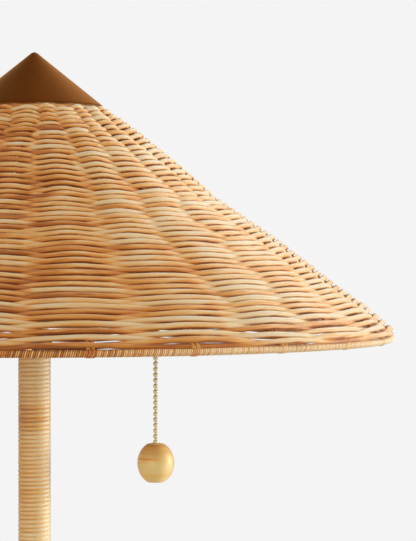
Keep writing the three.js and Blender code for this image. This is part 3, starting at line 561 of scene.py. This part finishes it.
# Sockets: two pull-chain sockets lying level, each with a spun cap, a seamed shell with a rolled
# mouth, a fibre liner, a dark core and a screw shell for the bulb.
card = mottled("fibre_card", (0.36, 0.27, 0.16), (0.27, 0.19, 0.11), 300, 0.85)
phenolic = mottled("phenolic", (0.03, 0.022, 0.016), (0.018, 0.013, 0.01), 120, 0.35)
barrel = 16.4
barrel_bore = 15.6
for side, lying in to_side.items():
    start, end = off_axis(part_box(f"socket_cap_{side}"))
    cup = [(pipe_hole, start), (8, start), (8, start + 1.2), (7.6, start + 1.8), (7.6, start + 5),
           (8.4, start + 6.4)]
    cup += [(8.4 + 8 * sin(a), start + 6.6 + 8 * (1 - cos(a))) for a in np.linspace(0.25, pi / 2 - 0.1, 8)]
    cup += [(barrel, start + 15.5), (barrel, end), (barrel_bore, end), (barrel_bore, start + 15.5),
            (pipe_hole, start + 7.2)]
    wear(turned(f"socket_cup_{side}", cup, 72, lying), brass, "brass", "stand", f"socket_cap_{side}")
    start, end = off_axis(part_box(f"socket_shell_{side}"))
    shell = [(barrel_bore, start), (barrel, start), (barrel, start + 4), (barrel + 0.5, start + 4.6),
             (barrel + 0.5, start + 5.6), (barrel, start + 6.2), (barrel, end - 7.4),
             (barrel - 0.4, end - 6.8), (barrel - 0.4, end - 6.0), (barrel, end - 5.4), (barrel, end - 2),
             (barrel + 0.7, end - 1.6), (barrel + 0.8, end - 0.7), (barrel + 0.4, end),
             (barrel - 0.6, end), (barrel_bore, end - 1)]
    wear(turned(f"socket_barrel_{side}", shell, 72, lying, 0.35), brass, "brass", "stand",
         f"socket_shell_{side}")
    dress(card, f"socket_liner_{side}")
    dress(phenolic, f"socket_core_{side}")
    dress(brass, f"socket_screw_{side}")

# Bulbs: small round frosted lamps with a bright threaded base, screwed in level.
opal = mottled("frosted_glass", (0.90, 0.89, 0.85), (0.86, 0.85, 0.81), 40, 0.3)
opal.node_tree.nodes["Principled BSDF"].inputs["Transmission Weight"].default_value = 0.35
bright = mottled("bright_aluminium", (0.78, 0.78, 0.79), (0.66, 0.66, 0.67), 150, 0.25, 1.0)
glass_neck = 11
thread_pitch = 3
for side, lying in to_side.items():
    glass_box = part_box(f"bulb_glass_{side}")
    low, high = in_mm(glass_box)
    start, tip = off_axis(glass_box)
    ball_radius = (high.z - low.z) / 2
    centre = tip - ball_radius
    glass = [(0, start), (glass_neck, start)]
    glass += [(glass_neck + (ball_radius - glass_neck - 0.6) * (3 * t * t - 2 * t ** 3),
               start + 1 + (centre - 9 - start) * t) for t in np.linspace(0, 1, 9)[:-2]]
    glass += [(ball_radius * cos(a), centre + ball_radius * sin(a)) for a in np.linspace(-0.42, pi / 2, 18)]
    glass[-1] = (0, tip)
    wear(turned(f"bulb_globe_{side}", glass, 64, lying, 0.2), opal, "bulb_glass", f"bulb_{side}",
         f"bulb_glass_{side}")
    start, end = off_axis(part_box(f"bulb_base_{side}"))
    screw = [(0, start), (4.2, start), (4.8, start + 1.4), (9.5, start + 4)]
    for k in range(5):
        screw += [(12.2, start + 5.2 + thread_pitch * k), (12.9, start + 6.7 + thread_pitch * k)]
    screw += [(12.2, end - 3.4), (12.6, end - 2), (12.6, end), (0, end)]
    wear(turned(f"bulb_thread_{side}", screw, 56, lying, 0.6), bright, "bulb_metal", f"bulb_{side}",
         f"bulb_base_{side}")

# Chain guides: little brass bells through the under side of each socket.
bell_bore = 2.85
for side in to_side:
    low, high = in_mm(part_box(f"pull_spout_{side}"))
    hang = Matrix.Translation(((low.x + high.x) / 2 * mm, 0, 0))
    bell = [(bell_bore, low.z), (4.3, low.z), (4.6, low.z + 0.5), (4.3, low.z + 1.6), (3.8, low.z + 3.2),
            (3.5, low.z + 5), (3.5, high.z), (bell_bore, high.z)]
    wear(turned(f"chain_bell_{side}", bell, 40, hang, 0.25), brass, "brass", "stand", f"pull_spout_{side}")

# Pull chains: hollow pale brass beads crimped on short wires, a swivel link under each guide,
# and a turned wooden ball on the last bead.
bead_brass = mottled("bead_brass", (0.94, 0.87, 0.66), (0.88, 0.79, 0.56), 500, 0.42, 0.15)
bead, bead_pitch, wire = 2.05, 4.2, 0.6


def bead_outline(top, count):
    """Beads from the lowest up, on the wire."""
    outline = [(0, top - (count - 1) * bead_pitch - bead)]
    for k in reversed(range(count)):
        centre = top - k * bead_pitch
        outline += [(bead * cos(a), centre + bead * sin(a)) for a in np.linspace(-1.2, 1.2, 11)]
        if k:
            outline += [(wire, centre + bead * 1.02), (wire, centre + bead_pitch - bead * 1.02)]
    return outline + [(0, top + bead)]


def ball_wood(name, line_height, middle):
    """Pale turned wood with its grain lying level, one darker growth line on its inner half at
    the given height, and a satin lacquer."""
    material, tree, surface = finish(
        name, Specular_IOR_Level=1.0, Specular_Tint=(1.0, 0.78, 0.46, 1), Coat_Weight=0.12,
        Coat_Roughness=0.25, Sheen_Weight=1.0, Sheen_Roughness=0.6, Sheen_Tint=(1.0, 0.76, 0.42, 1))

    def eased(value, low, high, at_low, at_high):
        return shader(tree, "ShaderNodeMapRange", value, interpolation_type="SMOOTHSTEP",
                      From_Min=low, From_Max=high, To_Min=at_low, To_Max=at_high)

    place = shader(tree, "ShaderNodeTexCoord").outputs["Object"]
    grain = noise(tree, place, (14, 14, 330), Scale=1.0, Detail=4.0, Roughness=0.6, Distortion=0.4)
    growth = noise(tree, place, (10, 10, 90), Scale=1.0, Detail=2.0, Roughness=0.5, Distortion=0.6)
    mean = maths(tree, "MULTIPLY_ADD", grain, 0.5, maths(tree, "MULTIPLY", growth, 0.5))
    split = shader(tree, "ShaderNodeSeparateXYZ", place).outputs
    above = maths(tree, "SUBTRACT", split["Z"], line_height)
    on_line = eased(maths(tree, "ABSOLUTE", above), 0.0003, 0.0013, 1.0, 0.0)
    on_inner = eased(maths(tree, "ABSOLUTE", split["X"]), middle - 0.007, middle + 0.006, 1.0, 0.0)
    lined = maths(tree, "MULTIPLY_ADD", maths(tree, "MULTIPLY", on_line, on_inner), -0.27, mean)
    toned = maths(tree, "ADD", lined, eased(above, 0.0, 0.011, 0.03, -0.10))
    colour = ramp(tree, toned, ((0.0, (0.54, 0.18, 0.03)), (0.33, (0.97, 0.47, 0.09)),
                                (0.44, (1.0, 0.66, 0.21)), (0.60, (1.0, 0.79, 0.36))))
    rough = shader(tree, "ShaderNodeMapRange", grain, To_Min=0.38, To_Max=0.52)
    plug(tree, surface, Base_Color=colour, Roughness=rough)
    return material


ball_low, ball_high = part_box("pull_ball_right")
lacquered_wood = ball_wood("ball_wood", (ball_low.z + ball_high.z) / 2 + 4 * mm,
                           (ball_low.x + ball_high.x) / 2)
link_radius, link_groove, link_mouth = 2.9, 2.5, 2.35
ball_widest = 13.9
ball_flat = 6.0
ball_lean = np.arccos(ball_flat / ball_widest)
bead_room = 5.3
for side in to_side:
    low, high = in_mm(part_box(f"pull_stub_{side}"))
    hang = Matrix.Translation(((low.x + high.x) / 2 * mm, 0, 0))
    wear(turned(f"stub_beads_{side}", bead_outline(high.z - bead, 5), 24, hang, 0), bead_brass,
         "chain_brass", f"pull_{side}", f"pull_stub_{side}")
    low, high = in_mm(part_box(f"pull_connector_{side}"))
    link = [(0, low.z + 3.8), (link_mouth, low.z + 3.8), (link_mouth, low.z + 0.3), (link_groove, low.z),
            (link_radius, low.z + 0.5), (link_radius, low.z + 3.6), (link_groove, low.z + 4.2),
            (link_groove, high.z - 4.2), (link_radius, high.z - 3.6), (link_radius, high.z - 0.5),
            (link_groove, high.z), (link_mouth, high.z - 0.3), (link_mouth, high.z - 3.8), (0, high.z - 3.8)]
    wear(turned(f"swivel_link_{side}", link, 32, hang, 0.2), bead_brass,
         "chain_brass", f"connector_{side}", f"pull_connector_{side}")
    low, high = in_mm(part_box(f"pull_chain_{side}"))
    wear(turned(f"bead_chain_{side}", bead_outline(high.z - bead, 18), 24, hang, 0), bead_brass,
         "chain_brass", f"chain_{side}", f"pull_chain_{side}")
    low, high = in_mm(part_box(f"pull_ball_{side}"))
    middle, half_height = (low.z + high.z + 0.7) / 2, (high.z - low.z - 0.7) / 2
    outline = [(0, low.z + 1.3), (2.2, low.z + 0.9), (ball_flat - 0.8, low.z + 0.7)]
    outline += [(ball_widest * cos(a), middle + half_height * sin(a) / sin(ball_lean))
                for a in np.linspace(-ball_lean, ball_lean, 25)]
    outline += [(ball_flat - 0.8, high.z), (2.75, high.z), (2.35, high.z - 0.5),
                (2.35, high.z - bead_room), (0, high.z - bead_room)]
    wear(turned(f"wooden_ball_{side}", outline, 72, hang, 0.35), lacquered_wood,
         "ball_wood", f"chain_{side}", f"pull_ball_{side}")

# Shade frame: a steel hub and three arms in a ring, with six wires down the inside of the cone
# to the hoop. The wires are tied in with the weave.
frame_steel = mottled("frame_steel", (0.30, 0.24, 0.17), (0.20, 0.155, 0.10), 140, 0.42, 0.8, 0.2)
dress(frame_steel, "spider_hub")
dress(mottled("black_rubber", (0.02, 0.018, 0.016), (0.012, 0.011, 0.01), 300, 0.85), "seat_washer")
dress(zinc, "riser_nut")

ring_low, ring_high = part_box("top_ring")
top_ring_height = (ring_low.z + ring_high.z) / 2
top_ring_radius = ring_high.x - 2.0 * mm
hub_radius = 10.6 * mm
arm_half = np.full(9, 3.5 * mm / 2)
arm_half[[0, -1]] *= 0.8
for k in range(3):
    angle = 2 * pi * k / 3 + pi / 2
    reach = np.linspace(hub_radius, top_ring_radius - 1.4 * mm, len(arm_half))
    arm = dict(line=[(r * cos(angle), r * sin(angle), top_ring_height) for r in reach],
               out=(sin(angle), -cos(angle), 0), up=(0, 0, 1), half_out=arm_half, half_up=arm_half, tone=0.5)
    wear(strands(f"spider_bar_{k + 1}", [arm], 14), frame_steel, "steel", "shade", f"spider_arm_{k + 1}")
top_hoop = level_ring(top_ring_radius, top_ring_height, 2.0 * mm, 1.9 * mm, 0.5, 120)
wear(strands("top_hoop", [top_hoop], 14), frame_steel, "steel", "shade", "top_ring")

# Weave: two long weavers of round rattan core chase each other round twenty-four pairs of
# uprights, over one pair and behind the next, beaten down tight from the cap to the hoop.
rim_low, rim_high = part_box("rim_ring")
cap_low, cap_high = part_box("cap")
hoop_thick = 5.3 * mm
hoop_radius = rim_high.x - hoop_thick / 2
hoop_height = (rim_low.z + rim_high.z) / 2
face_top = np.array((cap_high.x + 2.5 * mm, cap_low.z - 0.3 * mm))
face_foot = np.array((hoop_radius + 1.4 * mm, hoop_height + 8.4 * mm))
slope_length = float(np.linalg.norm(face_foot - face_top))
down = (face_foot - face_top) / slope_length
outward = np.array((-down[1], down[0]))
core = 3.0 * mm
wall = 9 * mm
uprights = 24
swell_at = np.array([0, 0.09, 0.17, 0.25, 0.33, 0.42, 0.52, 0.61, 0.68, 0.76, 0.82, 0.89, 1.0])
swell = np.array([0.3, 1.4, 0.45, 0.35, 0.63, 0.53, -0.49, -1.45, 0, 0.92, 0.77, 1.0, 0]) * mm


def on_face(reach, out):
    """Radius and height at a distance down the slope from the cap, and out from the face, which
    swells a little here and there."""
    bulge = np.interp(1 - reach / slope_length, swell_at, swell)
    return face_top + down * np.asarray(reach)[:, None] + outward * (np.asarray(out) + bulge)[:, None]


rows = 90
loose_rows = 6
loosened = 0.13
row_pitch = (slope_length - 2.0 * mm) / (rows - 1 + loosened * loose_rows)
row_gap = np.full(rows - 1, row_pitch)
row_gap[-loose_rows:] *= 1 + loosened
row_reach = 1.2 * mm + np.concatenate([[0], np.cumsum(row_gap)])
row_reach = np.concatenate([[-3.4 * mm, -1.5 * mm], row_reach, [row_reach[-1] + 2.9 * mm]])
per_upright = 8
weave_angle = np.arange(uprights * per_upright) * 2 * pi / (uprights * per_upright)
luck = np.random.default_rng(41)
sway = [(m, luck.uniform(12, 60), luck.uniform(0, 2 * pi), luck.normal(0, 0.44) * mm) for m in range(1, 11)]
bands = [(m, luck.uniform(160, 560), luck.uniform(0, 2 * pi), luck.uniform(0.04, 0.09))
         for m in (0, 0, 1, 1, 2, 2, 3, 4, 5, 7)]


def row_place(reach):
    """Where a row really lies: all rows sway together, and each strays a little by itself."""
    along = np.full(len(weave_angle), reach)
    hold = (np.clip((reach + 2 * mm) / (12 * mm), 0, 1)
            * np.clip((slope_length + 4 * mm - reach) / (8 * mm), 0, 1))
    for m, wave, start, size in sway:
        along += hold * size * np.sin(m * weave_angle + wave * reach + start)
    alone = 0.09 if reach < slope_length - 22 * mm else 0.34
    for m in range(2, 12):
        along += hold * luck.normal(0, alone * mm / 2) * np.cos(m * weave_angle + luck.uniform(0, 2 * pi))
    return along


def patchy(across, down_step, size, seed):
    """Slow unevenness over the whole face, for an angle and a distance down the slope."""
    own = np.random.default_rng(seed)
    knots = own.normal(0, size, (int(slope_length / down_step) + 4, across))

    def at(reach):
        spot = np.clip(reach / down_step + 1, 0, len(knots) - 1.001)
        low, share = int(spot), spot % 1
        line = knots[low] * (1 - share) + knots[low + 1] * share
        turn_spot = weave_angle / (2 * pi) * across
        first, part = turn_spot.astype(int) % across, turn_spot % 1
        part = part * part * (3 - 2 * part)
        return line[first] * (1 - part) + line[(first + 1) % across] * part

    return at


side_shift = patchy(24, 26 * mm, 0.30, 51)
bow = patchy(48, 34 * mm, 0.17, 52)
stain = patchy(48, 11 * mm, 0.12, 53)


def strand_tones_and_painted_light(reach):
    """Each row is pieced from a few lengths whose ends hide behind uprights, and neighbouring
    rows were cut from the same cane, so their tones go together. On top of that, light is
    painted in: the tone is paler and more even on the side towards the lamp at the right (+X)
    and deeper on the far side."""
    cuts = sorted(luck.choice(uprights, luck.integers(2, 5), replace=False))
    shades = luck.normal(0.0, 0.11, len(cuts)) + 0.02 - 0.35 * (luck.random(len(cuts)) < 0.07)
    tones = np.full(len(weave_angle), shades[-1])
    for cut, shade in zip(cuts, shades):
        tones[cut * per_upright:] = shade
    for m, wave, start, size in bands:
        tones = tones + size * np.cos(m * weave_angle + wave * reach + start)
    turned_up = luck.normal(0, 0.10, uprights)
    nearest = np.round(weave_angle / (2 * pi) * uprights - 0.5).astype(int) % uprights
    tones = tones + stain(reach) + turned_up[nearest]
    # Painted light: paler towards the lamp at the right, deeper away from it.
    towards_lamp = np.cos(weave_angle)
    palest = 0.02 + 0.27 * np.clip(1 - towards_lamp, 0, 1)
    toned = 0.60 + tones * (1.02 - 0.62 * towards_lamp) - 0.45 * towards_lamp + 0.14 * towards_lamp ** 3
    return np.clip(toned, palest, 0.98)


def painted_underside_shade(t):
    """Painted shade: a weaver is darkest low on its section, where the next row shades it."""
    return 0.85 * np.clip((0.35 - np.sin(t + 0.9)) / 1.2, 0, 1) ** 1.5 - 0.12


weavers = {"a": [], "b": []}
for row, reach in enumerate(row_reach):
    over = (-1) ** row
    stray = side_shift(reach) + 0.16 * luck.normal() * np.cos(7 * weave_angle + luck.uniform(0, 2 * pi))
    phase = uprights / 2 * (weave_angle - pi / uprights) + stray
    swing = np.cos(phase) * over
    swing = swing * (1.12 - 0.12 * swing ** 2)
    thick = core * (1 + 0.06 * luck.normal()) / 2
    crossing = 1 + 0.22 * np.exp(-((np.abs(swing) - 0.32) / 0.28) ** 2)
    for m in (5, 9, 14):
        crossing = crossing + luck.normal(0, 0.022) * np.cos(m * weave_angle + luck.uniform(0, 2 * pi))
    depth = -wall / 2 + swing * (wall - core) / 2 * np.clip(0.73 + bow(reach), 0.5, 0.95)
    if reach < 0:
        depth = np.full(len(depth), -4.2 * mm)
    if reach > slope_length:
        depth = np.maximum(depth, -wall / 2 - 0.6 * mm)
    flat = on_face(row_place(reach), depth)
    # Painted shade: a weaver's tone is darker where it passes behind the uprights, and its shade low on the
    # section is deepened in the pockets beside each pair of uprights, where the wall is deepest.
    column = (weave_angle / (2 * pi) * uprights + stray / pi * 2) % 1
    beside = np.abs(column - 0.5) * 2 * pi / uprights * flat[:, 0]
    painted_pocket_shade = np.clip(swing, 0, 1) ** 4 * np.exp(-((beside - 2.4 * mm) / (2.6 * mm)) ** 2)
    weavers["ab"[row % 2]].append(dict(
        line=swung(flat, weave_angle), out=swung(outward, weave_angle), up=-swung(down, weave_angle),
        half_out=thick * 1.08 * crossing, half_up=thick * (1.09 * crossing + 0.54 * np.abs(swing) ** 3),
        tone=strand_tones_and_painted_light(reach) + 0.45 * np.clip(0.1 - swing, 0, 1), shaded=painted_underside_shade,
        share=0.45 + 1.6 * painted_pocket_shade, closed=True))
weave_colours = [(0.75, 0.64, 0.44), (0.79, 0.585, 0.315), (0.76, 0.41, 0.125), (0.62, 0.24, 0.036),
                 (0.37, 0.105, 0.010)]
weave_rattan = rattan("weave_rattan", weave_colours, 0.47, 2.0, 0.25, 0.34)
for key, paths in weavers.items():
    weaver = strands(f"weaver_{key}", paths, 10)
    wear(weaver, weave_rattan, "weave_rattan", "shade")
    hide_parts("weave")


# Uprights: twenty-four pairs of straight rods under the weavers, from under the cap to the hoop,
# where their ends are caught in the binding. They are darker than the weavers.
def rod(reach, depth, angle, half, tone, aside=0.0):
    """A rod down the slope, at a depth under the face, an angle and a distance beside it."""
    side = np.array((-sin(angle), cos(angle), 0.0))
    angles = np.full(len(reach), angle)
    line = swung(on_face(reach, np.full(len(reach), -depth)), angles)
    return dict(line=line + side * np.reshape(aside, (-1, 1)), out=swung(outward, angles), up=side,
                half_out=half, half_up=half, tone=tone)


upright_paths = []
for k in range(uprights):
    for beside in (-1, 1):
        reach = np.linspace(-5.5 * mm, slope_length + 4.0 * mm, 34)
        stray = wander(0.3, 0.06, 100 + 2 * k + beside)
        aside = beside * 1.6 * mm + 0.25 * mm * stray(np.maximum(reach, 0))
        upright_paths.append(rod(reach, wall / 2, 2 * pi * (k + 0.5) / uprights, 1.35 * mm,
                                 0.70 + 0.08 * luck.normal(), aside))
upright_rods = strands("uprights", upright_paths, 8)
wear(upright_rods, weave_rattan, "weave_rattan", "shade")
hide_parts("weave")

# Frame wires: six wires tied to the inner face of the weave, from the top ring to the hoop.
for k in range(6):
    wire_reach = np.linspace(14 * mm, slope_length + 3.0 * mm, 24)
    wire_rod = rod(wire_reach, wall + 1.8 * mm, 2 * pi * (k + 0.5) / 6, 1.5 * mm, 0.5)
    wear(strands(f"frame_wire_{k + 1}", [wire_rod], 14), frame_steel, "steel", "shade", f"strut_{k + 1}")

# Bottom hoop: a round hoop bound at a slant with narrow peel, three strands side by side, and at
# each pair of uprights a few tight turns that catch their ends.
rim_tone = wander(2 * pi, 0.10, 31)
turn_tone = wander(2 * pi, 0.012, 33)


def hoop_painted_light(angle):
    """Painted light: the hoop's peel is paler on the side towards the lamp at the right (+X) and darker on
    the far side.
    """
    return np.clip(0.62 - 1.05 * np.cos(angle), 0.06, 0.88)


def hoop_tone_and_painted_light(k, angle):
    """Each of the three strands has its own tone, and all of them wander along the hoop, on top of the
    painted light that is paler towards the lamp.
    """
    return (hoop_painted_light(angle) + 0.15 * rim_tone(angle) + 0.26 * turn_tone(angle + 0.3 * k)
            + (0.16, -0.16, 0.0)[k])


hoop_paths = bound_hoop(hoop_radius, hoop_height, hoop_thick, 4.2 * mm, 3, 0.8 * mm, hoop_tone_and_painted_light)
for k in range(uprights):
    angle = 2 * pi * (k + 0.5) / uprights
    for n in range(3 if k % 3 else 4):
        t = np.arange(20) * 2 * pi / 20
        lean = 1.1 * mm * np.sin(t + 0.6 + 0.25 * luck.normal()) + (n - 1) * 1.35 * mm
        # The ties take the same painted light as the hoop, and painted shade at the edges of each turn.
        hoop_paths.append(wound_strand(hoop_radius, hoop_height, hoop_thick / 2 - 0.05 * mm, t,
                                       angle + lean / hoop_radius, half_out=0.42 * mm, half_up=0.7 * mm,
                                       tone=hoop_painted_light(angle) + 0.12 + 0.12 * luck.normal(),
                                       shaded=lambda t: 0.5 * np.abs(np.sin(t)) ** 4 - 0.05))
rim_colours = [(0.95, 0.77, 0.47), (0.93, 0.59, 0.23), (0.74, 0.29, 0.055), (0.48, 0.14, 0.02),
               (0.25, 0.065, 0.01)]
rim_rattan = rattan("rim_rattan", rim_colours, 0.48, 1.0, 0.3, 0.4)
wear(strands("bottom_hoop", hoop_paths, 6), rim_rattan, "rim_rattan", "shade", "rim_ring")


# Cap: a cone spun from thin sheet, bronzed and waxed to a satin brown, with a small rolled edge.
# A brass insert inside screws on the riser and clamps the shade.
def bronzed(name):
    material, tree, surface = finish(
        name, Metallic=1.0, Specular_Tint=(1.0, 0.66, 0.40, 1), Sheen_Weight=0.72,
        Sheen_Roughness=0.34, Sheen_Tint=(1.0, 0.58, 0.28, 1))
    place = shader(tree, "ShaderNodeTexCoord").outputs["Object"]
    spun = noise(tree, place, (3, 3, 500), Scale=1.0, Detail=3.0, Roughness=0.6)
    patina = shader(tree, "ShaderNodeTexNoise", Vector=place, Scale=22.0, Detail=4.0, Roughness=0.55)
    colour = ramp(tree, patina, ((0.3, (0.080, 0.0175, 0.0006)), (0.7, (0.120, 0.0270, 0.0014))))
    rough = shader(tree, "ShaderNodeMapRange", spun, To_Min=0.55, To_Max=0.68)
    plug(tree, surface, Base_Color=colour, Roughness=rough)
    return material


dress(brass, "cap_insert")
cap_slope = radians(38.9)
rim_r, rim_z = cap_high.x / mm, cap_low.z / mm
tip_r = 4.0
sheet = 1.2
edge_height = 0.8
apex = rim_z + edge_height + rim_r * tan(cap_slope)
tip_centre = apex - tip_r / cos(cap_slope)
inner_top = apex - sheet / cos(cap_slope)
lip_r = rim_r - sheet
cap_outline = [(0, inner_top), (lip_r - 0.3, inner_top - (lip_r - 0.3) * tan(cap_slope)),
               (lip_r - 0.2, rim_z + 0.1), (lip_r + 0.4, rim_z), (rim_r, rim_z),
               (rim_r + 0.1, rim_z + 0.4), (rim_r, rim_z + edge_height),
               (rim_r - 4, rim_z + edge_height + 4 * tan(cap_slope))]
cap_outline += [(tip_r * sin(a), tip_centre + tip_r * cos(a)) for a in np.linspace(cap_slope, 0, 9)]
cap_outline[-1] = (0, tip_centre + tip_r)
wear(turned("spun_cap", cap_outline, 160, None, 0.25), bronzed("cap_bronze"), "cap_metal", "cap", "cap")
